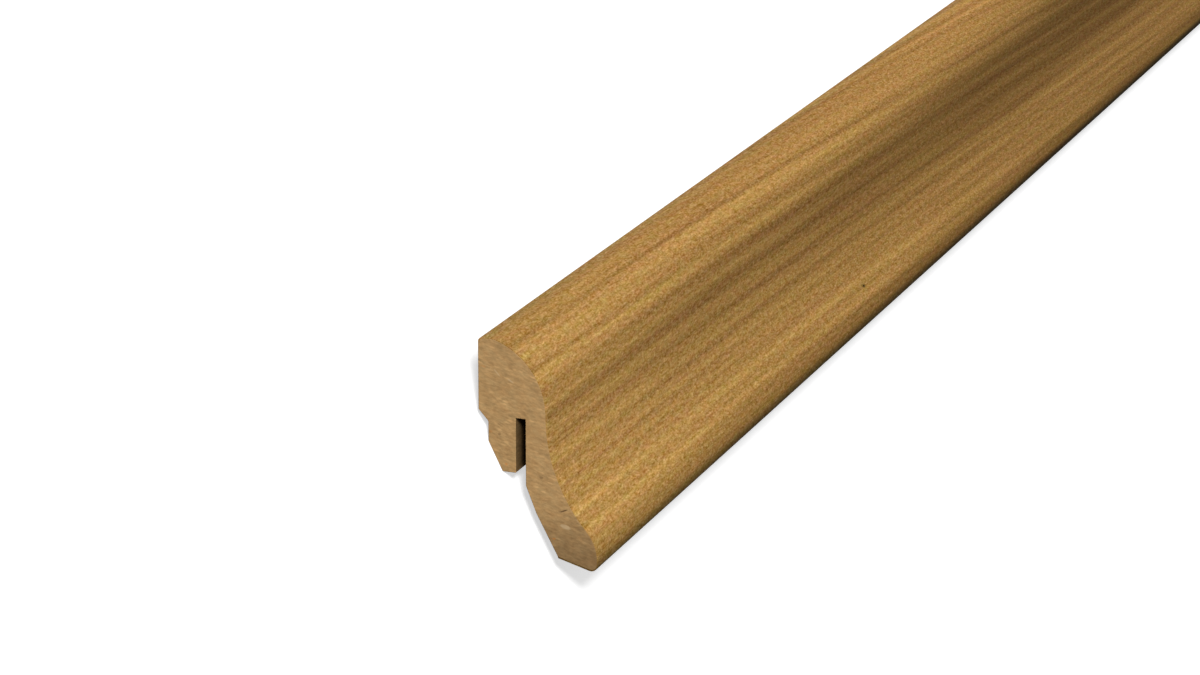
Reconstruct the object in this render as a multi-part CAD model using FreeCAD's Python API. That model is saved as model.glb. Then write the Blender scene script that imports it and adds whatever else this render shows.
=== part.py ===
"""A length of skirting board: a moulded MDF core with a wood-decor foil wrapped round its visible side.

The section is drawn as the board stands against a wall. u runs out from the wall plane into the room, and
v runs up from the floor. The front is one smooth run of tangent arcs: shoulder, crown, cove, toe and nose.
The back has a flat face for the wall, a tapered lip, the slot that a wall clip's tongue enters from below,
and a relief that leaves room for the clip's body behind the foot.

No board of this section stands up unheld, because its weight lies behind its foot. The finished solids are
therefore laid down as the board comes to rest on a level floor, on the tapered face of the lip with the
decor upwards. X runs along the board, -Y is the side of the foot, and the origin is under the middle.
All sizes are in millimetres and all angles in degrees.
"""

import FreeCAD, Part
import math
import os

# Overall sizes
length = 2400.0
height = 40.0
depth = 22.0
foil_thickness = 0.2

# Front: the top, the crown and the cove
back_edge_radius = 0.9
top_land = 1.5
shoulder_radius = 3.0
shoulder_angle = 18.6
web_thickness = 3.9

# Front: the foot
toe_height = 2.0
toe_radius = 7.8
nose_radius = 1.3
foot_width = 7.3
foot_angle = 15.5

# Back: the wall face and the lip
wall_face_bottom = 27.0
lip_setback = 1.8
lip_chamfer_drop = 2.0
lip_taper_top = 21.4
lip_bottom = 16.2
lip_tip_thickness = 2.5

# Back: the clip slot and the relief behind the foot
slot_setback = 6.9
slot_width = 1.8
slot_depth = 9.9
relief_top = 14.1
relief_knee_height = 9.3
relief_knee_setback = 10.6


def polar(angle):
    """The direction (u, v) that stands at this angle above the u axis."""
    return math.cos(math.radians(angle)), math.sin(math.radians(angle))


def moved(point, direction, distance):
    """The point reached from another one by going this far in a direction."""
    return point[0] + direction[0] * distance, point[1] + direction[1] * distance


def crown_radius():
    """The crown fills what the land and the shoulder leave of the depth at the waist, and ends upright."""
    turn = math.sin(math.radians(shoulder_angle))
    waist_depth = slot_setback + slot_width + web_thickness
    return (waist_depth - back_edge_radius - top_land - shoulder_radius * turn) / (1.0 - turn)


def front_arcs():
    """Centre, radius, first and last angle of each arc from the wall edge at the top to the nose.

    An arc that bulges into the room has a positive radius, and the hollow cove has a negative one. An
    angle is that of the line from the centre, so neighbours that share an angle are tangent there.
    """
    crown = crown_radius()
    shoulder_centre = (back_edge_radius + top_land, height - shoulder_radius)
    shoulder_end = 90.0 - shoulder_angle
    crown_centre = moved(shoulder_centre, polar(shoulder_end), shoulder_radius - crown)
    waist = moved(crown_centre, polar(0.0), crown)
    toe_centre = (depth - toe_radius, toe_height)
    # the cove starts upright at the waist and is tangent to the toe, so the three give its radius
    rise = waist[1] - toe_centre[1]
    overhang = waist[0] - toe_centre[0]
    cove = (overhang**2 + rise**2 - toe_radius**2) / (2.0 * (toe_radius - overhang))
    cove_centre = moved(waist, polar(0.0), cove)
    meeting = math.degrees(math.atan2(rise, cove_centre[0] - toe_centre[0]))
    return [
        ((back_edge_radius, height - back_edge_radius), back_edge_radius, 180.0, 90.0),
        (shoulder_centre, shoulder_radius, 90.0, shoulder_end),
        (crown_centre, crown, shoulder_end, 0.0),
        (cove_centre, -cove, 180.0, 180.0 + meeting),
        (toe_centre, toe_radius, meeting, 0.0),
        ((depth - nose_radius, nose_radius), nose_radius, 0.0, -90.0 - foot_angle),
    ]


def foot_corner(inset):
    """The foot's lower back corner, where its underside, set in by this much, meets the relief."""
    nose_centre = (depth - nose_radius, nose_radius)
    nose_end = moved(nose_centre, polar(-90.0 - foot_angle), nose_radius)
    slope = math.tan(math.radians(foot_angle))
    outer = (depth - foot_width, nose_end[1] + (nose_end[0] - depth + foot_width) * slope)
    if inset == 0.0:
        return outer
    # along the relief, the underside's offset line is met after inset / sin(angle between the two)
    run, rise = relief_knee_setback - outer[0], relief_knee_height - outer[1]
    between = math.atan2(rise, run) - math.radians(180.0 - foot_angle)
    along = inset / math.sin(-between)
    return moved(outer, (run / math.hypot(run, rise), rise / math.hypot(run, rise)), along)


def vector(point):
    """The place of a section point on the board's near end, with the front towards -Y."""
    return FreeCAD.Vector(-length / 2.0, -point[0], point[1])


def line(start, end):
    return Part.LineSegment(vector(start), vector(end)).toShape()


def front_edges(inset):
    """The front from the wall edge at the top to the end of the nose, set into the board by inset."""
    edges = []
    end = None
    for centre, radius, first, last in front_arcs():
        inner = radius - inset
        points = [moved(centre, polar(angle), abs(inner)) for angle in (first, (first + last) / 2.0, last)]
        if end and math.dist(end, points[0]) > 1e-6:
            edges.append(line(end, points[0]))
        edges.append(Part.Arc(*[vector(point) for point in points]).toShape())
        end = points[2]
    edges.append(line(end, foot_corner(inset)))
    return edges


def back_points():
    """The corners of the back, from the wall edge at the top down to the knee of the relief."""
    slot_front = slot_setback + slot_width
    return [
        (0.0, height - back_edge_radius),
        (0.0, wall_face_bottom),
        (lip_setback, wall_face_bottom - lip_chamfer_drop),
        (lip_setback, lip_taper_top),
        (slot_setback - lip_tip_thickness, lip_bottom),
        (slot_setback, lip_bottom),
        (slot_setback, lip_bottom + slot_depth),
        (slot_front, lip_bottom + slot_depth),
        (slot_front, relief_top),
        (relief_knee_setback, relief_knee_height),
    ]


def chain(points):
    return [line(start, end) for start, end in zip(points, points[1:])]


def bar(edges):
    """The solid bar of a closed section, as long as the board."""
    face = Part.Face(Part.Wire(Part.__sortEdges__(edges)))
    return face.extrude(FreeCAD.Vector(length, 0.0, 0.0))


def core():
    """The MDF bar: the whole back, and the front less the foil's thickness."""
    foil_seat = (foil_thickness, height - back_edge_radius)
    back = [foil_seat] + back_points() + [foot_corner(foil_thickness)]
    return bar(front_edges(foil_thickness) + chain(back))


def foil():
    """The decor foil, from the wall edge at the top, over the front and nose, to the foot's back corner."""
    wall_edge = height - back_edge_radius
    ends = [
        line((0.0, wall_edge), (foil_thickness, wall_edge)),
        line(foot_corner(0.0), foot_corner(foil_thickness)),
    ]
    return bar(front_edges(0.0) + front_edges(foil_thickness) + ends)


def lay_down(solids):
    """Turns the board from standing to lying on the lip's taper, and puts the origin under its middle."""
    taper_run = slot_setback - lip_tip_thickness - lip_setback
    taper_drop = lip_taper_top - lip_bottom
    angle = 90.0 - math.degrees(math.atan2(taper_run, taper_drop))
    edge = vector((lip_setback, lip_taper_top))
    for solid in solids:
        solid.rotate(edge, FreeCAD.Vector(1.0, 0.0, 0.0), -angle)
    box = Part.Compound(solids).optimalBoundingBox(False, False)
    for solid in solids:
        solid.translate(FreeCAD.Vector(0.0, -(box.YMin + box.YMax) / 2.0, -box.ZMin))


def main():
    nodes = {"mdf_core": core(), "decor_foil": foil()}
    lay_down(list(nodes.values()))
    os.makedirs("parts", exist_ok=True)
    for name, solid in nodes.items():
        solid.exportStep(f"parts/{name}.step")
        print(name, "valid", solid.isValid(), "volume", round(solid.Volume), "mm3")


main()
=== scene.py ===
import logging
import math
from dataclasses import dataclass
from enum import Enum
from typing import Mapping, Sequence, Union

import bpy
import numpy as np
from mathutils import Color, Matrix, Vector


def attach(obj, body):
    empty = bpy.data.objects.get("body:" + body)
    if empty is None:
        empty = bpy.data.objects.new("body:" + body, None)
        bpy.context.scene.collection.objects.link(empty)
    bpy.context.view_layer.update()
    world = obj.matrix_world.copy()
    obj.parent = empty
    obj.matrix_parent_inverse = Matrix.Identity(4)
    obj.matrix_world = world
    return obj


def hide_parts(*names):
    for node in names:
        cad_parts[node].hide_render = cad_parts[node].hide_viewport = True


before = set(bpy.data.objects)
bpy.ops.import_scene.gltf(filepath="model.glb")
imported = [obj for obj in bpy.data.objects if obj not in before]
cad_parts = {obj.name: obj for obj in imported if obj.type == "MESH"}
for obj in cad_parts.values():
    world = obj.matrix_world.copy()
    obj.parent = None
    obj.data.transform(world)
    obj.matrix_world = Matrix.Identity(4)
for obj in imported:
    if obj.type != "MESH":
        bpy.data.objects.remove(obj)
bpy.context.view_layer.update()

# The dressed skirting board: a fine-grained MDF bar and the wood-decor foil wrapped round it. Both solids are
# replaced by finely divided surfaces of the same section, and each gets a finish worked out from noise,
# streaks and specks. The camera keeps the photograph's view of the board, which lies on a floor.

LOG = logging.getLogger("skirting_board")
MM = 0.001  # metres in a millimetre
METRE = 1.0 / MM
FULL_VALUE = 255.0  # of one part of a display colour
WHITE = (1.0, 1.0, 1.0)
SAME_POINT = 1e-9  # millimetres
Number = Union[float, int, "Field"]
Reach = Union[float, np.ndarray]


class Layer(Enum):
    """The two physical pieces, by the name of the solid that each replaces."""

    CORE = "mdf_core"
    FOIL = "decor_foil"


class Blend(Enum):
    """How one colour is laid over another."""

    MIX = "MIX"
    MULTIPLY = "MULTIPLY"


# Shader maths


@dataclass(frozen=True)
class Field:
    """A number that varies over a surface: one output socket, whose arithmetic adds Math nodes."""

    tree: bpy.types.NodeTree
    socket: bpy.types.NodeSocket

    def _math(self, operation: str, *values: Number, clamp: bool = False) -> "Field":
        """Adds one Math node.

        Args:
            operation: Name of the node's operation.
            values: Its inputs in order, numbers or fields.
            clamp: Whether the result is held between 0 and 1.

        Returns:
            The node's result.
        """
        node = self.tree.nodes.new("ShaderNodeMath")
        node.operation = operation
        node.use_clamp = clamp
        for socket, value in zip(node.inputs, values):
            if isinstance(value, Field):
                self.tree.links.new(value.socket, socket)
            else:
                socket.default_value = value
        return Field(self.tree, node.outputs[0])

    def __add__(self, other: Number) -> "Field":
        """Sum."""
        return self._math("ADD", self, other)

    def __radd__(self, other: Number) -> "Field":
        """Sum, with the number in front."""
        return self._math("ADD", other, self)

    def __sub__(self, other: Number) -> "Field":
        """Difference."""
        return self._math("SUBTRACT", self, other)

    def __rsub__(self, other: Number) -> "Field":
        """Difference, with the number in front."""
        return self._math("SUBTRACT", other, self)

    def __mul__(self, other: Number) -> "Field":
        """Product."""
        return self._math("MULTIPLY", self, other)

    def __rmul__(self, other: Number) -> "Field":
        """Product, with the number in front."""
        return self._math("MULTIPLY", other, self)

    def __truediv__(self, other: Number) -> "Field":
        """Quotient."""
        return self._math("DIVIDE", self, other)

    def __rtruediv__(self, other: Number) -> "Field":
        """Quotient, with the number on top."""
        return self._math("DIVIDE", other, self)

    def __pow__(self, other: Number) -> "Field":
        """Power."""
        return self._math("POWER", self, other)

    def __rpow__(self, other: Number) -> "Field":
        """Power of a number."""
        return self._math("POWER", other, self)

    def __neg__(self) -> "Field":
        """The same value with the other sign."""
        return self._math("MULTIPLY", self, -1.0)

    def __abs__(self) -> "Field":
        """Size without its sign."""
        return self._math("ABSOLUTE", self)

    def held(self) -> "Field":
        """The same value, held between 0 and 1."""
        return self._math("ADD", self, 0.0, clamp=True)

    def wrapped(self, period: float) -> "Field":
        """What is left of the value after whole periods, never below 0."""
        return self._math("FLOORED_MODULO", self, period)

    def bell(self, place: Number, width: float) -> "Field":
        """A smooth hump of this half width, 1 at the place: exp(-((value - place) / width) ** 2)."""
        away = (self - place) / width
        return math.e ** -(away * away)


@dataclass(frozen=True)
class Paint:
    """A colour that varies over a surface."""

    socket: bpy.types.NodeSocket


Tones = tuple[float, float, float]
Colour = Union[Tones, Paint]
Input = Union[Number, Colour, bpy.types.NodeSocket]
Place = tuple[Field, Field, Field]


def linear(red: int, green: int, blue: int) -> Tones:
    """Linear light of a display colour, whose parts run from 0 to 255."""
    shown = Color((red / FULL_VALUE, green / FULL_VALUE, blue / FULL_VALUE))
    return tuple(shown.from_srgb_to_scene_linear())


class Bench:
    """One node tree, with the few ways in which nodes are added to it."""

    OPAQUE = 1.0
    NOISE_MIDDLE = 0.5
    PICK_RIM = 0.03
    DISPLAY_POWER = 2.2

    def __init__(self, owner: Union[bpy.types.Material, bpy.types.World]) -> None:
        """Starts an empty tree.

        Args:
            owner: The new material or world that the tree belongs to.
        """
        owner.use_nodes = True
        self.tree = owner.node_tree
        self.tree.nodes.clear()

    def node(
        self, kind: str, settings: Mapping[str, object], inputs: Mapping[Union[str, int], Input]
    ) -> bpy.types.Node:
        """Adds any node.

        Args:
            kind: The node's type.
            settings: Its own properties, which are set first.
            inputs: Socket name or index to a number, a colour, a field or a socket.

        Returns:
            The node.
        """
        node = self.tree.nodes.new(kind)
        for name, value in settings.items():
            setattr(node, name, value)
        for name, value in inputs.items():
            socket = node.inputs[name]
            if isinstance(value, (Field, Paint)):
                self.tree.links.new(value.socket, socket)
            elif isinstance(value, bpy.types.NodeSocket):
                self.tree.links.new(value, socket)
            elif isinstance(value, tuple) and len(value) < len(socket.default_value):
                # a colour's socket also takes its opacity
                socket.default_value = (*value, self.OPAQUE)
            else:
                socket.default_value = value
        return node

    def wrap(self, layer: str) -> tuple[Field, Field]:
        """The two coordinates of a piece's own map, in millimetres.

        Args:
            layer: The name of the UV map.

        Returns:
            Distance along the board, and distance round its section.
        """
        source = self.node("ShaderNodeUVMap", {"uv_map": layer}, {})
        split = self.node("ShaderNodeSeparateXYZ", {}, {0: source.outputs[0]})
        return Field(self.tree, split.outputs[0]) * METRE, Field(self.tree, split.outputs[1]) * METRE

    def section_place(self, turn: float, origin: Sequence[float]) -> Place:
        """Object coordinates turned back to the standing section, in millimetres.

        Args:
            turn: Angle about X that brings the board back upright.
            origin: Where the section's corner between wall and floor comes, in metres.

        Returns:
            Distance along the board, out of the wall, and up from the floor.
        """
        source = self.node("ShaderNodeTexCoord", {}, {})
        inputs = {"Vector": source.outputs["Object"], "Location": tuple(origin), "Rotation": (turn, 0.0, 0.0)}
        placed = self.node("ShaderNodeMapping", {"vector_type": "TEXTURE"}, inputs)
        split = self.node("ShaderNodeSeparateXYZ", {}, {0: placed.outputs[0]})
        along, back, up = (Field(self.tree, output) * METRE for output in split.outputs)
        return along, -back, up

    def join(self, x: Number, y: Number, z: Number) -> bpy.types.NodeSocket:
        """A vector from three numbers or fields."""
        return self.node("ShaderNodeCombineXYZ", {}, {0: x, 1: y, 2: z}).outputs[0]

    def noise(self, at: bpy.types.NodeSocket, detail: float = 2.0, roughness: float = 0.5) -> Field:
        """Smooth noise.

        Args:
            at: The place, already scaled so that one unit is one grain of the noise.
            detail: How many finer layers are added.
            roughness: How strong each finer layer is.

        Returns:
            A value from -0.5 to 0.5, mostly near 0.
        """
        settings = {"noise_dimensions": "3D", "normalize": True}
        inputs = {"Vector": at, "Scale": 1.0, "Detail": detail, "Roughness": roughness}
        grains = self.node("ShaderNodeTexNoise", settings, inputs)
        return Field(self.tree, grains.outputs[0]) - self.NOISE_MIDDLE

    def cells(self, at: bpy.types.NodeSocket) -> tuple[Field, Field]:
        """Scattered points.

        Args:
            at: The place, already scaled so that one unit holds one point.

        Returns:
            The distance to the nearest point, and that point's own random number.
        """
        node = self.node("ShaderNodeTexVoronoi", {"feature": "F1"}, {"Vector": at, "Scale": 1.0})
        split = self.node("ShaderNodeSeparateColor", {}, {0: node.outputs["Color"]})
        return Field(self.tree, node.outputs["Distance"]), Field(self.tree, split.outputs[0])

    def scattered(self, at: bpy.types.NodeSocket, rare: float, core: float, rim: float) -> Field:
        """Scattered spots, full up to core and gone at rim. The share rare of the spacings has none."""
        away, pick = self.cells(at)
        return (1.0 - self.ramp(away, core, rim)) * self.ramp(pick, rare, rare + self.PICK_RIM)

    def ramp(self, value: Field, low: float, high: float) -> Field:
        """A smooth step.

        Args:
            value: What is looked at.
            low: Where the step begins.
            high: Where it ends, which may lie below its beginning.

        Returns:
            0 at the low end and beyond, and 1 at the high end and beyond.
        """
        settings = {"interpolation_type": "SMOOTHSTEP"}
        inputs = {"Value": value, "From Min": low, "From Max": high}
        return Field(self.tree, self.node("ShaderNodeMapRange", settings, inputs).outputs[0])

    def mix(self, share: Number, under: Colour, over: Colour, blend: Blend = Blend.MIX) -> Paint:
        """Lays one colour over another.

        Args:
            share: How much of the upper colour shows.
            under: The lower colour.
            over: The upper colour.
            blend: How the two are combined.

        Returns:
            The mixed colour.
        """
        settings = {"data_type": "RGBA", "blend_type": blend.value, "clamp_factor": True}
        # the node has sockets for every kind of data, and 6 and 7 in and 2 out are its colours
        node = self.node("ShaderNodeMix", settings, {0: share, 6: under, 7: over})
        return Paint(node.outputs[2])

    def blended(self, red: Number, green: Number, blue: Number) -> Paint:
        """A colour from its three parts."""
        node = self.node("ShaderNodeCombineColor", {}, {0: red, 1: green, 2: blue})
        return Paint(node.outputs[0])

    def toned(
        self, ground: Tones, parts: Sequence[tuple[Field, Tones]], veils: Sequence[tuple[Field, Tones]]
    ) -> Paint:
        """A ground colour, made lighter and darker in shares of its displayed brightness.

        Each channel is multiplied by (1 + sum of part * tone) * product of (1 - veil * tone), raised to the
        power that turns a share of the displayed value into one of linear light.

        Args:
            ground: The colour where nothing changes it.
            parts: Fields that add up, each with its tones for red, green and blue.
            veils: Fields from 0 to 1 that darken what lies under them, with their tones.

        Returns:
            The colour.
        """
        gains = []
        for channel in range(len(ground)):
            tone = 1.0 + sum(part * tones[channel] for part, tones in parts)
            for veil, tones in veils:
                tone = tone * (1.0 - veil * tones[channel])
            gains.append(tone**self.DISPLAY_POWER)
        return self.mix(1.0, ground, self.blended(*gains), Blend.MULTIPLY)

    def backdrop(self, seen: bpy.types.Node, lighting: bpy.types.Node) -> bpy.types.NodeSocket:
        """Picks one shader for what the camera sees and another for what lights the object.

        Args:
            seen: The shader that shows to the camera, straight or by way of gloss or glass.
            lighting: The shader that throws its light on the object.

        Returns:
            The socket of the picked shader.
        """
        path = self.node("ShaderNodeLightPath", {}, {})
        rays = (path.outputs[f"Is {kind} Ray"] for kind in ("Camera", "Glossy", "Transmission"))
        shown = sum(Field(self.tree, ray) for ray in rays).held()
        inputs = {0: shown, 1: lighting.outputs[0], 2: seen.outputs[0]}
        return self.node("ShaderNodeMixShader", {}, inputs).outputs[0]

    def finish(self, colour: Colour, roughness: Number, gloss: float, relief: Field, height: float) -> None:
        """Closes the tree with one plain surface shader.

        Args:
            colour: Base colour.
            roughness: Roughness.
            gloss: Strength of the surface reflection, 0.5 being that of a clear lacquer.
            relief: The fine relief, centred on 0.
            height: The height in metres that 1 stands for.
        """
        bump = self.node("ShaderNodeBump", {}, {"Height": relief, "Distance": height, "Strength": 1.0})
        inputs = {
            "Base Color": colour,
            "Roughness": roughness,
            "Specular IOR Level": gloss,
            "Normal": bump.outputs[0],
        }
        shader = self.node("ShaderNodeBsdfPrincipled", {}, inputs)
        self.node("ShaderNodeOutputMaterial", {}, {"Surface": shader.outputs[0]})


# The section


@dataclass(frozen=True)
class Section:
    """The board's section as it stands: u runs out of the wall and v up from the floor, in millimetres."""

    length: float = 2400.0
    height: float = 40.0
    depth: float = 22.0
    foil_thickness: float = 0.2
    back_edge_radius: float = 0.9
    top_land: float = 1.5
    shoulder_radius: float = 3.0
    shoulder_angle: float = 18.6
    web_thickness: float = 3.9
    toe_height: float = 2.0
    toe_radius: float = 7.8
    nose_radius: float = 1.3
    foot_width: float = 7.3
    foot_angle: float = 15.5
    wall_face_bottom: float = 27.0
    lip_setback: float = 1.8
    lip_chamfer_drop: float = 2.0
    lip_taper_top: float = 21.4
    lip_bottom: float = 16.2
    lip_tip_thickness: float = 2.5
    slot_setback: float = 6.9
    slot_width: float = 1.8
    slot_depth: float = 9.9
    relief_top: float = 14.1
    relief_knee_height: float = 9.3
    relief_knee_setback: float = 10.6
    arc_step: float = 2.0
    least_steps: int = 3

    def _arcs(self) -> list[tuple[float, float, float, float, float]]:
        """The front's arcs, which follow from the sizes so that neighbours are tangent.

        Returns:
            For each arc its centre, its radius, which is negative in a hollow, and its first and last angle.
        """
        turn = math.sin(math.radians(self.shoulder_angle))
        waist_u = self.slot_setback + self.slot_width + self.web_thickness
        start = self.back_edge_radius + self.top_land
        crown = (waist_u - start - self.shoulder_radius * turn) / (1.0 - turn)
        shoulder_v = self.height - self.shoulder_radius
        end = math.radians(90.0 - self.shoulder_angle)
        crown_u = start + math.cos(end) * (self.shoulder_radius - crown)
        crown_v = shoulder_v + math.sin(end) * (self.shoulder_radius - crown)
        toe_u = self.depth - self.toe_radius
        rise, overhang = crown_v - self.toe_height, waist_u - toe_u
        cove = (overhang**2 + rise**2 - self.toe_radius**2) / (2.0 * (self.toe_radius - overhang))
        meeting = math.degrees(math.atan2(rise, waist_u + cove - toe_u))
        edge, nose = self.back_edge_radius, self.nose_radius
        return [
            (edge, self.height - edge, edge, 180.0, 90.0),
            (start, shoulder_v, self.shoulder_radius, 90.0, 90.0 - self.shoulder_angle),
            (crown_u, crown_v, crown, 90.0 - self.shoulder_angle, 0.0),
            (waist_u + cove, crown_v, -cove, 180.0, 180.0 + meeting),
            (toe_u, self.toe_height, self.toe_radius, meeting, 0.0),
            (self.depth - nose, nose, nose, 0.0, -90.0 - self.foot_angle),
        ]

    def _foot_corner(self, inset: float) -> tuple[float, float]:
        """The foot's back corner, moved along the relief until the sole is set in.

        Args:
            inset: How far the sole is set into the board.

        Returns:
            The corner (u, v).
        """
        slope = math.radians(self.foot_angle)
        end_u = self.depth - self.nose_radius - math.sin(slope) * self.nose_radius
        end_v = self.nose_radius - math.cos(slope) * self.nose_radius
        corner_u = self.depth - self.foot_width
        corner_v = end_v + (end_u - corner_u) * math.tan(slope)
        run, rise = self.relief_knee_setback - corner_u, self.relief_knee_height - corner_v
        along = inset / math.sin(math.pi - slope - math.atan2(rise, run))
        reach = math.hypot(run, rise)
        return corner_u + run / reach * along, corner_v + rise / reach * along

    def front(self, inset: float) -> np.ndarray:
        """The front from the wall edge to the foot's back corner.

        Each arc is centre + |radius - inset| * (cos, sin) of evenly spaced angles, so fronts with different
        insets have the same number of points and face each other point by point.

        Args:
            inset: How far the front is set into the board.

        Returns:
            Points (u, v), one a row.
        """
        runs = []
        for centre_u, centre_v, radius, first, last in self._arcs():
            count = max(self.least_steps, math.ceil(abs(last - first) / self.arc_step))
            angles = np.radians(np.linspace(first, last, count + 1))
            reach = abs(radius - inset)
            arc = (centre_u + reach * np.cos(angles), centre_v + reach * np.sin(angles))
            runs.append(np.column_stack(arc))
        points = np.vstack([*runs, [self._foot_corner(inset)]])
        steps = np.linalg.norm(np.diff(points, axis=0), axis=1)
        return points[np.r_[True, steps > SAME_POINT]]

    def back(self) -> np.ndarray:
        """The back's corners, from the knee of the relief up to the wall edge.

        Returns:
            Points (u, v), one a row.
        """
        slot_front = self.slot_setback + self.slot_width
        return np.array(
            [
                (self.relief_knee_setback, self.relief_knee_height),
                (slot_front, self.relief_top),
                (slot_front, self.lip_bottom + self.slot_depth),
                (self.slot_setback, self.lip_bottom + self.slot_depth),
                (self.slot_setback, self.lip_bottom),
                (self.slot_setback - self.lip_tip_thickness, self.lip_bottom),
                (self.lip_setback, self.lip_taper_top),
                (self.lip_setback, self.wall_face_bottom - self.lip_chamfer_drop),
                (0.0, self.wall_face_bottom),
                (0.0, self.height - self.back_edge_radius),
            ]
        )


@dataclass(frozen=True)
class Lie:
    """How the standing section lies down: on the tapered face of its lip, centred over the origin."""

    section: Section

    @property
    def turn(self) -> float:
        """How far the board turns from standing to lying: a right angle less the slant of the lip's taper.

        Returns:
            The angle in radians.
        """
        s = self.section
        run = s.slot_setback - s.lip_tip_thickness - s.lip_setback
        return math.pi / 2.0 - math.atan2(run, s.lip_taper_top - s.lip_bottom)

    @property
    def origin(self) -> tuple[float, float, float]:
        """Where the corner between wall and floor comes, once the board lies centred on the floor.

        Returns:
            The place (x, y, z) in metres.
        """
        outline = np.vstack([self.section.front(0.0), self.section.back()])
        _, across, up = self.direction(0.0, outline[:, 0], outline[:, 1])
        middle = (across.min() + across.max()) / 2.0
        return 0.0, -middle * MM, -up.min() * MM

    def direction(self, along: Reach, out: Reach, up: Reach) -> tuple[Reach, Reach, Reach]:
        """Turns a standing direction (along the board, out of the wall, up) to the lying board's."""
        c, s = math.cos(self.turn), math.sin(self.turn)
        return along, -out * c + up * s, out * s + up * c

    def place(self, along: Reach, out: Reach, up: Reach) -> np.ndarray:
        """Places in metres of section points.

        Args:
            along: Distances from the board's middle, in millimetres.
            out: Distances out of the wall.
            up: Heights above the floor.

        Returns:
            One row (x, y, z) for each point.
        """
        x, y, z = self.direction(along, out, up)
        x, y, z = np.broadcast_arrays(x, y, z)
        return np.stack([x, y, z], axis=-1) * MM + np.array(self.origin)


# The pieces


def lengths_round(points: np.ndarray) -> np.ndarray:
    """Distance round a line of points: the running sum of its steps."""
    return np.r_[0.0, np.cumsum(np.linalg.norm(np.diff(points, axis=0), axis=1))]


def eased(points: np.ndarray, radius: float, steps: int) -> np.ndarray:
    """Rounds the corners of an open line.

    Each inner corner P with neighbours A and B becomes the curve (1-t)^2 Q + 2t(1-t) P + t^2 R, where Q and
    R lie on PA and PB at the given distance from P.

    Args:
        points: Corners (u, v), one a row.
        radius: Distance from the corner at which the easing starts.
        steps: Points along each curve, less one.

    Returns:
        The rounded line.
    """
    before, corner, after = points[:-2], points[1:-1], points[2:]
    to_before = before - corner
    to_after = after - corner
    q = corner + to_before * radius / np.linalg.norm(to_before, axis=1, keepdims=True)
    r = corner + to_after * radius / np.linalg.norm(to_after, axis=1, keepdims=True)
    t = np.linspace(0.0, 1.0, steps + 1)[None, :, None]
    curves = (1 - t) ** 2 * q[:, None] + 2 * t * (1 - t) * corner[:, None] + t**2 * r[:, None]
    return np.vstack([points[:1], curves.reshape(-1, 2), points[-1:]])


def new_piece(
    layer: Layer, verts: np.ndarray, faces: Sequence[Sequence[int]], sharp: float
) -> bpy.types.Object:
    """Makes the object of one piece, smooth but for edges sharper than an angle.

    Args:
        layer: Which piece it is.
        verts: Places in metres.
        faces: Corner indices of each face, outwards.
        sharp: Angle in degrees from which an edge stays sharp.

    Returns:
        The new object, at the origin.
    """
    mesh = bpy.data.meshes.new(f"{layer.value}_surface")
    mesh.from_pydata(verts.tolist(), [], faces)
    mesh.shade_smooth()
    mesh.set_sharp_from_angle(angle=math.radians(sharp))
    mesh.validate()
    piece = bpy.data.objects.new(f"{layer.value}_fine", mesh)
    bpy.context.scene.collection.objects.link(piece)
    return piece


def side_quads(rings: int, count: int) -> np.ndarray:
    """Quads between closed rings of points that follow one another along the board.

    Point c of ring r has the index r * count + c, and each quad joins points c and c + 1 of two rings.

    Args:
        rings: How many rings there are.
        count: Points in a ring.

    Returns:
        Four corner indices for each quad, outwards.
    """
    ring, point = np.meshgrid(np.arange(rings - 1) * count, np.arange(count), indexing="ij")
    following = (point + 1) % count
    corners = (ring + point, ring + following, ring + count + following, ring + count + point)
    return np.stack(corners, axis=-1).reshape(-1, 4)


@dataclass(frozen=True)
class Grain:
    """A noise stretched along the board, with its grains per millimetre both ways and a place of its own."""

    along: float
    across: float
    place: float
    detail: float = 3.0
    roughness: float = 0.6

    def over(self, bench: Bench, run: Field, grain: Field) -> Field:
        """The noise over the board, centred on 0."""
        at = bench.join(run * self.along, grain * self.across, self.place)
        return bench.noise(at, self.detail, self.roughness)


@dataclass(frozen=True)
class Dashes:
    """Scattered dashes along the grain: their spacing in millimetres both ways, and how they are drawn."""

    length: float
    width: float
    rare: float
    tone: float
    core: float = 0.15
    rim: float = 0.42

    def over(self, bench: Bench, run: Field, grain: Field) -> Field:
        """The tone inside a dash and 0 elsewhere, with soft rims."""
        # the share of empty spacings is also the depth at which the pattern is cut
        at = bench.join(run / self.length, grain / self.width, self.rare)
        return bench.scattered(at, self.rare, self.core, self.rim) * self.tone


@dataclass(frozen=True)
class GrowthLine:
    """One leading growth line of the decor: its place on the grain line, half width and tone."""

    place: float
    width: float
    tone: float


@dataclass(frozen=True)
class Pit:
    """A tiny dark pit in the decor: its places along and round the board, and its half widths."""

    run: float
    around: float
    length: float = 0.55
    width: float = 0.3

    def over(self, run: Field, around: Field) -> Field:
        """1 in the pit's middle and 0 outside it."""
        return run.bell(self.run, self.length) * around.bell(self.around, self.width)


@dataclass(frozen=True)
class PalePlace:
    """A place along the board where the decor's dark heart and the painted shade in the cove fade: its
    middle, half length and share.
    """

    middle: float
    reach: float
    share: float


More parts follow.
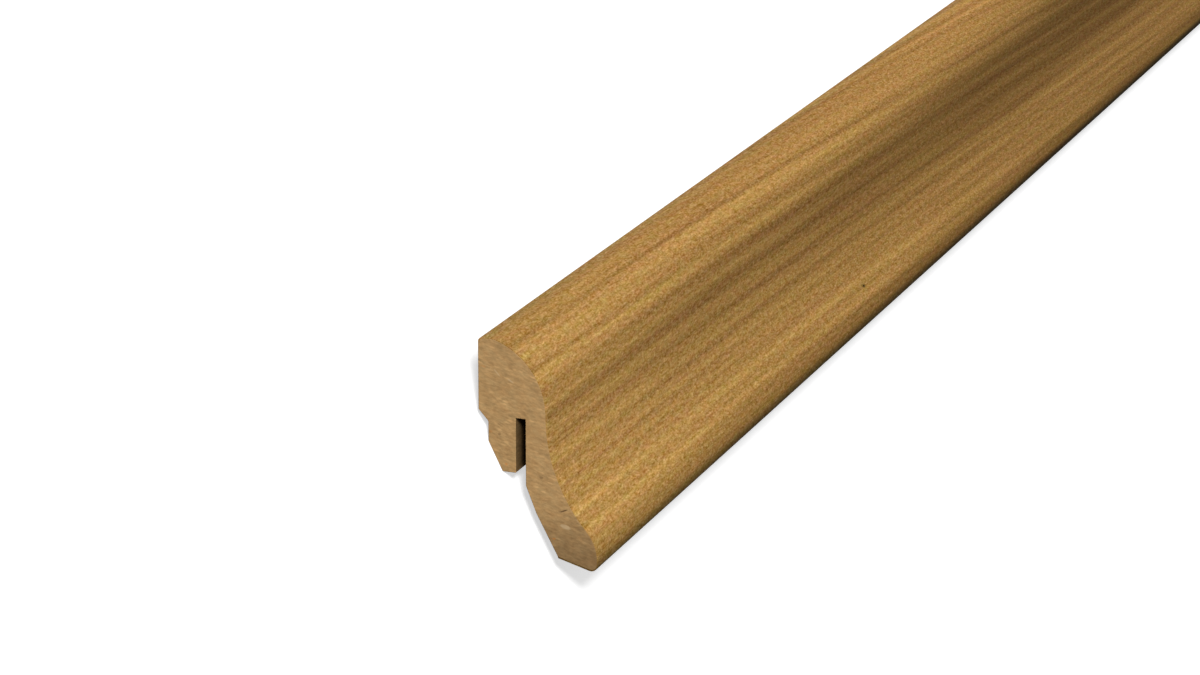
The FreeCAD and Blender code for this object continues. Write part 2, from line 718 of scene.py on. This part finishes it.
@dataclass(frozen=True)
class DecorFinish:
    """The printed wood decor: growth lines along the board, fibres, flecks, pores and glints, with painted
    shade on the toe, on the nose and in the cove.

    Tones are shares of the displayed brightness, given for red, green and blue where they differ, and
    lengths are in millimetres. Lines are drawn over the distance round the section, less a drift that grows
    from the near end until the grain runs straight.
    """

    name: str = "wood_decor"
    ground: Tones = linear(178, 137, 76)
    # the growth lines
    drift: float = 31.0
    drift_run: float = 448.0
    drift_loss: float = 0.012
    pattern_width: float = 45.0
    growth_lines: tuple[GrowthLine, ...] = (
        GrowthLine(4.4, 0.9, 0.04),
        GrowthLine(6.9, 0.6, -0.07),
        GrowthLine(8.8, 1.0, 0.11),
        GrowthLine(12.2, 0.8, -0.07),
        GrowthLine(13.9, 0.8, 0.1),
        GrowthLine(16.5, 0.9, -0.12),
        GrowthLine(18.8, 0.6, 0.06),
        GrowthLine(21.2, 0.9, -0.12),
        GrowthLine(24.0, 0.7, 0.04),
        GrowthLine(25.9, 0.7, -0.09),
        GrowthLine(28.7, 0.7, 0.09),
        GrowthLine(30.3, 0.8, -0.07),
        GrowthLine(32.4, 0.6, 0.06),
        GrowthLine(33.7, 0.4, -0.06),
        GrowthLine(36.8, 0.6, -0.03),
        GrowthLine(38.6, 0.9, 0.11),
        GrowthLine(40.3, 0.5, -0.04),
        GrowthLine(42.0, 0.6, 0.08),
        GrowthLine(43.8, 0.6, -0.07),
    )
    wander: Grain = Grain(0.01, 0.2, 5.0, 1.0)
    wander_reach: float = 1.6
    swell: Grain = Grain(0.012, 0.35, 3.0, 1.0)
    swell_reach: float = 2.0
    # fibres, flecks, pores, glints and pits
    fibres: Grain = Grain(0.014, 1.1, 7.0)
    fibre_tone: float = 0.4
    fine_flecks: Grain = Grain(1.2, 2.8, 11.0, 2.0, 0.7)
    fine_tone: float = 0.86
    coarse_flecks: Grain = Grain(0.45, 1.4, 13.0, 2.0)
    coarse_tone: float = 0.6
    pores: Dashes = Dashes(4.5, 0.6, 0.9, -0.1)
    glints: Dashes = Dashes(0.9, 0.5, 0.92, 0.08)
    pits: tuple[Pit, ...] = (
        Pit(160.3, 41.9),
        Pit(612.0, 13.5, 0.6),
        Pit(1247.0, 31.0, 0.4),
        Pit(1905.0, 22.5, 0.7, 0.3),
        Pit(2291.0, 39.0),
    )
    pit_tones: Tones = (-0.7, -0.7, -0.7)
    # changes of hue, and how much each pattern changes red, green and blue
    warmth: Grain = Grain(0.28, 0.7, 17.0)
    yellowness: Grain = Grain(0.42, 0.9, 23.0)
    tint: Grain = Grain(0.02, 0.55, 29.0, 2.0)
    line_shares: Tones = (0.8, 0.96, 0.96)
    fleck_shares: Tones = (0.82, 1.06, 1.8)
    warm_shares: Tones = (0.155, -0.09, 0.0)
    yellow_shares: Tones = (0.0, 0.0, 0.41)
    tint_shares: Tones = (0.055, -0.055, 0.16)
    dark_shares: Tones = (-0.012, -0.03, -0.03)
    # the darker heart of the decor along the cove, which is also painted shade in the hollow; it darkens
    # quickly at first from the near end and then slowly
    heart_and_cove_shade_tones: Tones = (0.41, 0.42, 0.435)
    heart_and_cove_shade_rise: tuple[float, float] = (5.0, 22.0)
    heart_and_cove_shade_fall: tuple[float, float] = (28.0, 38.0)
    heart_and_cove_shade_fall_share: float = 0.4
    pale_places: tuple[PalePlace, ...] = (
        PalePlace(0.0, 50.0, 0.25),
        PalePlace(0.0, 260.0, 0.75),
        PalePlace(880.0, 190.0, 0.55),
        PalePlace(1590.0, 130.0, 0.75),
        PalePlace(2330.0, 240.0, 0.9),
    )
    # the shoulder, the rim of the foil at the wall edge, and painted shade on the toe and the nose, deeper
    # where the decor runs dark
    edge_tones: Tones = (0.06, 0.075, 0.07)
    edge_fall: tuple[float, float] = (6.0, 12.5)
    rim_tones: Tones = (-0.02, -0.05, -0.11)
    rim_fall: tuple[float, float] = (1.5, 4.2)
    toe_shade_tones: Tones = (0.085, 0.09, 0.105)
    toe_shade_rise: tuple[float, float] = (43.6, 47.2)
    toe_shade_deepening: float = 1.0
    nose_shade_tones: Tones = (0.36, 0.34, 0.34)
    nose_shade_rise: tuple[float, float] = (46.9, 49.4)
    nose_shade_deepening: float = 1.0
    # the lacquer
    roughness: float = 0.55
    fleck_roughness: float = 0.2
    gloss: float = 0.003
    relief: float = 0.012

    def _grain_line(self, run: Field, around: Field) -> Field:
        """Distance round the section, less the drift of the grain at this distance from the near end."""
        settled = 1.0 - run.bell(0.0, self.drift_run)
        return around - settled * self.drift * (1.0 - around * self.drift_loss)

    def _growth(self, bench: Bench, run: Field, grain: Field) -> Field:
        """The leading lines: a hump at each one's place, which wanders and swells a little along the board.

        Args:
            bench: The material's bench.
            run: Distance from the near end.
            grain: The grain line's distance round the section.

        Returns:
            The sum of the lines' tones.
        """
        wander = self.wander.over(bench, run, grain) * self.wander_reach
        place = (grain + wander).wrapped(self.pattern_width)
        humps = sum(place.bell(line.place, line.width) * line.tone for line in self.growth_lines)
        return humps * (1.0 + self.swell.over(bench, run, grain) * self.swell_reach)

    def _darkness(self, run: Field) -> Field:
        """How dark the decor runs: low at a few pale places along the board, and 1 well away from them."""
        return (1.0 - sum(run.bell(pale.middle, pale.reach) * pale.share for pale in self.pale_places)).held()

    def _heart_and_cove_shade(self, bench: Bench, around: Field) -> Field:
        """Where the darker heart and the painted shade of the cove lie: 1 in them, 0 towards the top, and
        something between towards the toe.
        """
        fall = bench.ramp(around, *self.heart_and_cove_shade_fall) * self.heart_and_cove_shade_fall_share
        return bench.ramp(around, *self.heart_and_cove_shade_rise) * (1.0 - fall)

    def material(self, section: Section, layer: str) -> bpy.types.Material:
        """Builds the decor.

        Args:
            section: The board, whose length places the near end.
            layer: The UV map that follows the foil.

        Returns:
            The material.
        """
        material = bpy.data.materials.new(self.name)
        bench = Bench(material)
        along, around = bench.wrap(layer)
        run = along + section.length / 2.0
        grain = self._grain_line(run, around)
        lines = self._growth(bench, run, grain) + self.fibres.over(bench, run, grain) * self.fibre_tone
        fine = self.fine_flecks.over(bench, run, grain) * self.fine_tone
        flecks = fine + self.coarse_flecks.over(bench, run, grain) * self.coarse_tone
        specks = flecks + self.pores.over(bench, run, grain) + self.glints.over(bench, run, grain)
        darkness = self._darkness(run)
        parts = (
            (lines, self.line_shares),
            (specks, self.fleck_shares),
            (sum(pit.over(run, around) for pit in self.pits), self.pit_tones),
            (self.warmth.over(bench, run, grain), self.warm_shares),
            (self.yellowness.over(bench, run, grain), self.yellow_shares),
            (self.tint.over(bench, run, grain), self.tint_shares),
            (darkness, self.dark_shares),
        )
        veils = (
            # the darker heart of the decor, together with painted shade in the cove
            (self._heart_and_cove_shade(bench, around) * darkness, self.heart_and_cove_shade_tones),
            (1.0 - bench.ramp(around, *self.edge_fall), self.edge_tones),
            (1.0 - bench.ramp(around, *self.rim_fall), self.rim_tones),
            # painted shade on the toe and the nose, deeper where the decor runs dark
            (bench.ramp(around, *self.toe_shade_rise) * (1.0 + darkness * self.toe_shade_deepening), self.toe_shade_tones),
            (bench.ramp(around, *self.nose_shade_rise) * (1.0 + darkness * self.nose_shade_deepening), self.nose_shade_tones),
        )
        colour = bench.toned(self.ground, parts, veils)
        roughness = self.roughness - flecks * self.fleck_roughness
        bench.finish(colour, roughness, self.gloss, flecks, self.relief * MM)
        return material


@dataclass(frozen=True)
class Felt:
    """A noise of fibres felted in the panel's plane, with its grains per millimetre in and across it."""

    flat: float
    thick: float
    shift: float = 0.0
    detail: float = 3.0
    roughness: float = 0.6

    def over(self, bench: Bench, along: Field, out: Field, level: Field) -> Field:
        """The noise at a place along the board, out of the wall and up from the panel's plane."""
        at = bench.join((along + self.shift) * self.flat, out * self.flat, level * self.thick)
        return bench.noise(at, self.detail, self.roughness)


@dataclass(frozen=True)
class Specks:
    """Scattered flat specks: their spacings in and across the panel's plane, and how many stay empty."""

    flat: float
    thick: float
    rare: float
    shift: float = 0.0
    core: float = 0.15
    rim: float = 0.45

    def over(self, bench: Bench, along: Field, out: Field, level: Field) -> Field:
        """1 in a speck and 0 elsewhere, with soft rims, at a place given as for the felt."""
        at = bench.join((along + self.shift) / self.flat, out / self.flat, level / self.thick)
        return bench.scattered(at, self.rare, self.core, self.rim)


@dataclass(frozen=True)
class Mark:
    """One natural mark on the near sawn end: its middle, half axes, slope, colour and strength."""

    out: float
    up: float
    reach: float
    rise: float
    slope: float
    paint: Tones
    strength: float

    def over(self, bench: Bench, out: Field, up: Field, rim: tuple[float, float]) -> Field:
        """How much of the mark shows: an ellipse that fades over its rim.

        Args:
            bench: The material's bench.
            out: Distance out of the wall.
            up: Height above the floor.
            rim: Squares of the ellipse's share at which the mark is gone, and at which it is full.

        Returns:
            The mark's strength in its middle, and 0 outside it.
        """
        across = (out - self.out) / self.reach
        over = (up - self.up - (out - self.out) * self.slope) / self.rise
        return bench.ramp(across * across + over * over, *rim) * self.strength


@dataclass(frozen=True)
class RawMdfFinish:
    """Bare MDF: fibre bundles lying in the panel's plane, pale and brown specks, and painted shade towards
    the foot and on the slot's walls.

    The machined faces also show the cutter's ripples across the board and its fine nick lines along it.
    Lengths are in millimetres on the standing section. Tones are shares of the displayed brightness for
    red, green and blue.
    """

    name: str = "raw_mdf"
    ground: Tones = linear(175, 140, 94)
    # the panel's slant to the wall, and its fibres and specks
    slant: float = 0.22
    bundles: Felt = Felt(0.3, 0.8, 0.0, 2.0)
    bundle_tones: Tones = (0.3, 0.32, 0.34)
    flecks: Felt = Felt(0.9, 2.4, 0.0, 3.0, 0.65)
    fleck_tones: Tones = (0.42, 0.42, 0.42)
    warmth: Felt = Felt(0.55, 0.9, 80.0, 2.0)
    warm_tones: Tones = (0.06, -0.03, -0.1)
    pale_specks: Specks = Specks(1.6, 0.55, 0.86)
    pale_tones: Tones = (0.1, 0.1, 0.1)
    dark_specks: Specks = Specks(1.3, 0.5, 0.88, 40.0)
    dark_tones: Tones = (-0.12, -0.12, -0.12)
    # what the cutters leave
    ripple_pitch: float = 1.5
    ripple_tones: Tones = (0.1, 0.1, 0.1)
    nick_length: float = 220.0
    nick_width: float = 0.45
    nick_tones: Tones = (0.2, 0.2, 0.2)
    # painted shade, darker towards the foot, and painted shade on the walls of the slot
    foot_shade_heights: tuple[float, float] = (13.0, 0.5)
    foot_shade_tones: Tones = (0.22, 0.22, 0.21)
    slot_shade_tones: Tones = (0.56, 0.56, 0.56)
    slot_shade_lift_reach: float = 4.0
    slot_shade_lift_share: float = 0.52
    slot_rim: float = 0.04
    slot_mouth: float = 1.0
    # the larger marks on the near end
    pale_paint: Tones = linear(205, 180, 142)
    dark_paint: Tones = linear(84, 62, 42)
    rust_paint: Tones = linear(190, 122, 60)
    marks: tuple[Mark, ...] = (
        Mark(15.75, 10.4, 0.7, 0.15, 0.4, dark_paint, 0.8),
        Mark(16.0, 7.5, 1.0, 0.4, -0.2, pale_paint, 0.45),
        Mark(13.9, 5.1, 0.35, 0.2, 0.0, rust_paint, 0.5),
        Mark(5.1, 17.6, 0.3, 0.25, 0.0, rust_paint, 0.5),
        Mark(2.3, 23.2, 0.3, 0.25, 0.0, rust_paint, 0.3),
        Mark(3.9, 22.9, 0.3, 0.25, 0.0, dark_paint, 0.35),
        Mark(1.0, 34.8, 0.5, 0.2, -0.2, rust_paint, 0.3),
        Mark(11.6, 15.9, 0.35, 0.25, 0.0, dark_paint, 0.35),
        Mark(3.5, 33.9, 0.6, 0.16, -1.0, pale_paint, 0.4),
        Mark(6.0, 32.7, 0.6, 0.18, -0.5, pale_paint, 0.4),
        Mark(10.8, 31.3, 1.3, 0.25, -0.35, dark_paint, 0.14),
    )
    mark_rim: tuple[float, float] = (1.3, 0.4)
    end_film: float = 0.3
    roughness: float = 0.85
    gloss: float = 0.003
    relief: float = 0.03

    def _slot(self, bench: Bench, section: Section, out: Field, up: Field) -> Field:
        """Where shade is painted on the walls of the clip slot.

        Args:
            bench: The material's bench.
            section: The board's section.
            out: Distance out of the wall.
            up: Height above the floor.

        Returns:
            1 on the slot's walls and 0 elsewhere.
        """
        front = section.slot_setback + section.slot_width
        top = section.lip_bottom + section.slot_depth
        back_wall = bench.ramp(out, section.slot_setback - self.slot_rim, section.slot_setback)
        front_wall = bench.ramp(out, front + self.slot_rim, front)
        depth = bench.ramp(up, top + self.slot_rim, top)
        mouth = bench.ramp(up, section.lip_bottom - self.slot_mouth, section.lip_bottom + self.slot_mouth)
        return back_wall * front_wall * depth * mouth

    def material(self, section: Section, lie: Lie) -> bpy.types.Material:
        """Builds the bare board.

        Args:
            section: The board's section.
            lie: How it lies, to turn the pattern back upright.

        Returns:
            The material.
        """
        material = bpy.data.materials.new(self.name)
        bench = Bench(material)
        along, out, up = bench.section_place(-lie.turn, lie.origin)
        panel = (along, out, up + out * self.slant)
        from_end = section.length / 2.0 - abs(along)
        machined = bench.ramp(from_end, 0.0, self.end_film)
        # the painted shade in the slot is lighter near the sawn ends
        slot_shade_lift = (1.0 - bench.ramp(from_end, 0.0, self.slot_shade_lift_reach)) * (1.0 - self.slot_shade_lift_share)
        ripples = bench.noise(bench.join(along / self.ripple_pitch, 0.0, 0.0), detail=0.0)
        nicks = bench.noise(bench.join(along / self.nick_length, out / self.nick_width, up / self.nick_width))
        flecks = self.flecks.over(bench, *panel)
        parts = (
            (flecks, self.fleck_tones),
            (self.bundles.over(bench, *panel), self.bundle_tones),
            (self.warmth.over(bench, *panel), self.warm_tones),
            (self.pale_specks.over(bench, *panel), self.pale_tones),
            (self.dark_specks.over(bench, *panel), self.dark_tones),
            (ripples * machined, self.ripple_tones),
            (nicks * machined, self.nick_tones),
        )
        veils = (
            # painted shade, darker towards the foot
            (bench.ramp(up, *self.foot_shade_heights), self.foot_shade_tones),
            # painted shade on the slot's walls, lighter near the sawn ends
            (self._slot(bench, section, out, up) * (1.0 - slot_shade_lift), self.slot_shade_tones),
        )
        colour = bench.toned(self.ground, parts, veils)
        near_end = 1.0 - bench.ramp(along + section.length / 2.0, 0.0, self.end_film)
        for mark in self.marks:
            colour = bench.mix(mark.over(bench, out, up, self.mark_rim) * near_end, colour, mark.paint)
        relief = flecks + (ripples + nicks) * machined
        bench.finish(colour, self.roughness, self.gloss, relief, self.relief * MM)
        return material


@dataclass
class MdfBar:
    """The moulded core, with eased arrises and a fine chamfer round both sawn ends."""

    section: Section
    lie: Lie
    arris: float = 0.15
    arris_steps: int = 3
    saw_chamfer: float = 0.08
    sharp: float = 40.0
    stations: int = 25

    def outline(self) -> np.ndarray:
        """The closed section: the front under the foil, then the back with its corners eased.

        Returns:
            Points (u, v), one a row.
        """
        s = self.section
        front = s.front(s.foil_thickness)
        back = eased(np.vstack([front[-1:], s.back(), front[:1]]), self.arris, self.arris_steps)
        return np.vstack([front, back[1:-1]])

    def set_in(self, outline: np.ndarray, inset: float) -> np.ndarray:
        """Moves the outline inwards, each point along the normal of the mean of its two edges' directions.

        Args:
            outline: The closed section.
            inset: How far its points move.

        Returns:
            The smaller section, point for point.
        """
        ahead = np.roll(outline, -1, axis=0) - outline
        ahead /= np.linalg.norm(ahead, axis=1, keepdims=True)
        tangent = ahead + np.roll(ahead, 1, axis=0)
        tangent /= np.linalg.norm(tangent, axis=1, keepdims=True)
        return outline + np.column_stack([tangent[:, 1], -tangent[:, 0]]) * inset

    def build(self) -> bpy.types.Object:
        """Carries the outline along the board, and closes both ends with a flat face.

        The surface is place(x, u(s), v(s)), with x the distance along the board and s the place round the
        outline. The first and last rings are set in, which makes the chamfer.

        Returns:
            The bar.
        """
        outline = self.outline()
        half = self.section.length / 2.0
        inner = np.linspace(-half + self.saw_chamfer, half - self.saw_chamfer, self.stations)
        along = np.r_[-half, inner, half]
        rings = np.repeat(outline[None], len(along), axis=0)
        rings[0] = rings[-1] = self.set_in(outline, self.saw_chamfer)
        verts = self.lie.place(along[:, None], rings[..., 0], rings[..., 1]).reshape(-1, 3)
        count = len(outline)
        sides = side_quads(len(along), count).tolist()
        near = list(range(count))[::-1]
        far = list(range(len(verts) - count, len(verts)))
        return new_piece(Layer.CORE, verts, [*sides, near, far], self.sharp)

    def dress(self, piece: bpy.types.Object) -> None:
        """Gives the bar its bare-board finish and makes it stand for the solid.

        Args:
            piece: The bar.
        """
        piece.data.materials.append(RawMdfFinish().material(self.section, self.lie))
        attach(piece, "root")
        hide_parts(Layer.CORE.value)


@dataclass
class FoilWrap:
    """The decor foil: a thin band from the wall edge, over the front and nose, to the foot's corner."""

    section: Section
    lie: Lie
    layer: str = "wrap"
    sharp: float = 40.0
    stations: int = 49

    def build(self) -> bpy.types.Object:
        """Carries the band's outer and inner lines along the board, and closes its edges and ends.

        The surface is place(x, u(s), v(s)), with x the distance along the board and s the place round the
        band, out along its outer line and back along its inner one.

        Returns:
            The foil.
        """
        outer = self.section.front(0.0)
        inner = self.section.front(self.section.foil_thickness)
        ring = np.vstack([outer, inner[::-1]])
        around = lengths_round(outer)
        half = self.section.length / 2.0
        along = np.linspace(-half, half, self.stations)
        verts = self.lie.place(along[:, None], ring[None, :, 0], ring[None, :, 1]).reshape(-1, 3)
        count, width = len(ring), len(outer)
        sides = side_quads(len(along), count)
        # the inner line runs back, so point c of the outer line faces point count - 1 - c of the ring
        point = np.arange(width - 1)
        near = np.stack([point + 1, point, count - 1 - point, count - 2 - point], axis=-1)
        far = near[:, ::-1] + len(verts) - count
        faces = np.vstack([sides, near, far])
        piece = new_piece(Layer.FOIL, verts, faces.tolist(), self.sharp)
        round_ring = np.r_[around, around[::-1]]
        self._map(piece.data, np.repeat(along, count), np.tile(round_ring, len(along)))
        return piece

    def _map(self, mesh: bpy.types.Mesh, along: np.ndarray, around: np.ndarray) -> None:
        """Writes the UV map: distance along the board and round its front, in metres.

        Args:
            mesh: The foil's mesh.
            along: Distance along the board of each vertex, in millimetres.
            around: Distance round the front of each vertex.
        """
        corners = np.empty(len(mesh.loops), dtype=np.int32)
        mesh.loops.foreach_get("vertex_index", corners)
        uv = np.column_stack([along[corners], around[corners]]) * MM
        mesh.uv_layers.new(name=self.layer).data.foreach_set("uv", uv.astype(np.float32).ravel())

    def dress(self, piece: bpy.types.Object) -> None:
        """Gives the foil its printed decor and makes it stand for the solid.

        Args:
            piece: The foil.
        """
        piece.data.materials.append(DecorFinish().material(self.section, self.layer))
        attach(piece, "root")
        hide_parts(Layer.FOIL.value)


# The studio


@dataclass(frozen=True)
class Lamp:
    """A distant lamp, with the direction towards it from the standing board and its width in degrees."""

    name: str
    strength: float
    towards: tuple[float, float, float]
    width: float
    glints: bool

    def hang(self, lie: Lie) -> None:
        """Adds the lamp, turned with the lying board.

        Args:
            lie: How the board lies.
        """
        light = bpy.data.lights.new(self.name, "SUN")
        light.energy = self.strength
        light.angle = math.radians(self.width)
        holder = bpy.data.objects.new(self.name, light)
        holder.rotation_euler = Vector(lie.direction(*self.towards)).to_track_quat("Z", "Y").to_euler()
        holder.visible_glossy = self.glints
        bpy.context.scene.collection.objects.link(holder)


@dataclass
class Studio:
    """The white floor, the soft lamps and the camera."""

    lie: Lie
    floor_half: float = 30.0
    floor_glow: float = 0.6
    floor_tones: Tones = (0.7, 0.7, 0.7)
    floor_bounce: Tones = (0.1, 0.1, 0.1)
    sky_light: float = 0.3
    sky_seen: float = 1.0
    key: Lamp = Lamp("key_lamp", 3.45, (-0.69, 0.43, 0.6), 15.0, True)
    fill: Lamp = Lamp("far_end_fill", 0.9, (0.98, 0.05, 0.15), 30.0, False)
    camera_from: tuple[float, float, float] = (-1815.2, 256.8, 242.4)
    camera_heading: float = 20.86
    camera_tilt: float = 16.91
    lens: float = 122.2
    sensor: float = 36.0
    clip: tuple[float, float] = (0.01, 100.0)

    def floor(self) -> None:
        """A level floor that looks white, keeps the shadow and throws little light back at the board."""
        material = bpy.data.materials.new("studio_floor")
        bench = Bench(material)
        glow = bench.node("ShaderNodeEmission", {}, {"Color": WHITE, "Strength": self.floor_glow})
        pale = bench.node("ShaderNodeBsdfDiffuse", {}, {"Color": self.floor_tones})
        pair = bench.node("ShaderNodeAddShader", {}, {0: glow.outputs[0], 1: pale.outputs[0]})
        dull = bench.node("ShaderNodeBsdfDiffuse", {}, {"Color": self.floor_bounce})
        bench.node("ShaderNodeOutputMaterial", {}, {"Surface": bench.backdrop(pair, dull)})
        h = self.floor_half
        mesh = bpy.data.meshes.new("floor_sheet")
        mesh.from_pydata([(-h, -h, 0.0), (h, -h, 0.0), (h, h, 0.0), (-h, h, 0.0)], [], [(0, 1, 2, 3)])
        mesh.materials.append(material)
        sheet = bpy.data.objects.new("floor_sheet", mesh)
        bpy.context.scene.collection.objects.link(sheet)

    def lamps(self) -> None:
        """A plain white sky, a broad key lamp above the decor side, and a weak one beyond the far end."""
        world = bpy.data.worlds.new("studio_sky")
        bench = Bench(world)
        dim = bench.node("ShaderNodeBackground", {}, {"Strength": self.sky_light})
        white = bench.node("ShaderNodeBackground", {}, {"Strength": self.sky_seen})
        bench.node("ShaderNodeOutputWorld", {}, {"Surface": bench.backdrop(white, dim)})
        bpy.context.scene.world = world
        for lamp in (self.key, self.fill):
            lamp.hang(self.lie)

    def camera(self) -> None:
        """The photograph's view, carried over to the lying board.

        The camera stands off the near end, out from the wall and above the standing board. It looks along
        the board and towards the wall by the heading, and down by the tilt, with the picture held level.
        """
        eye = bpy.data.cameras.new("photo_view")
        eye.sensor_width = self.sensor
        eye.lens = self.lens
        eye.clip_start, eye.clip_end = self.clip
        holder = bpy.data.objects.new("photo_view", eye)
        bpy.context.scene.collection.objects.link(holder)
        heading, tilt = math.radians(self.camera_heading), math.radians(self.camera_tilt)
        level = math.cos(tilt)
        gaze = (level * math.cos(heading), -level * math.sin(heading), -math.sin(tilt))
        ahead = Vector(self.lie.direction(*gaze))
        right = Vector(self.lie.direction(math.sin(heading), math.cos(heading), 0.0))
        spot = self.lie.place(*self.camera_from)
        turn = Matrix((right, right.cross(ahead), -ahead)).transposed()
        holder.matrix_world = Matrix.Translation(Vector(spot)) @ turn.to_4x4()
        bpy.context.scene.camera = holder

    def development(self) -> None:
        """Shows every colour as it is, with no film look."""
        bpy.context.scene.view_settings.view_transform = "Standard"


def main() -> None:
    """Builds the board and the studio."""
    logging.basicConfig(level=logging.INFO, format="%(message)s")
    section = Section()
    lie = Lie(section)
    for maker in (MdfBar(section, lie), FoilWrap(section, lie)):
        piece = maker.build()
        maker.dress(piece)
        LOG.info("%s: %d faces", piece.name, len(piece.data.polygons))
    studio = Studio(lie)
    studio.floor()
    studio.lamps()
    studio.camera()
    studio.development()


if __name__ == "__main__":
    main()
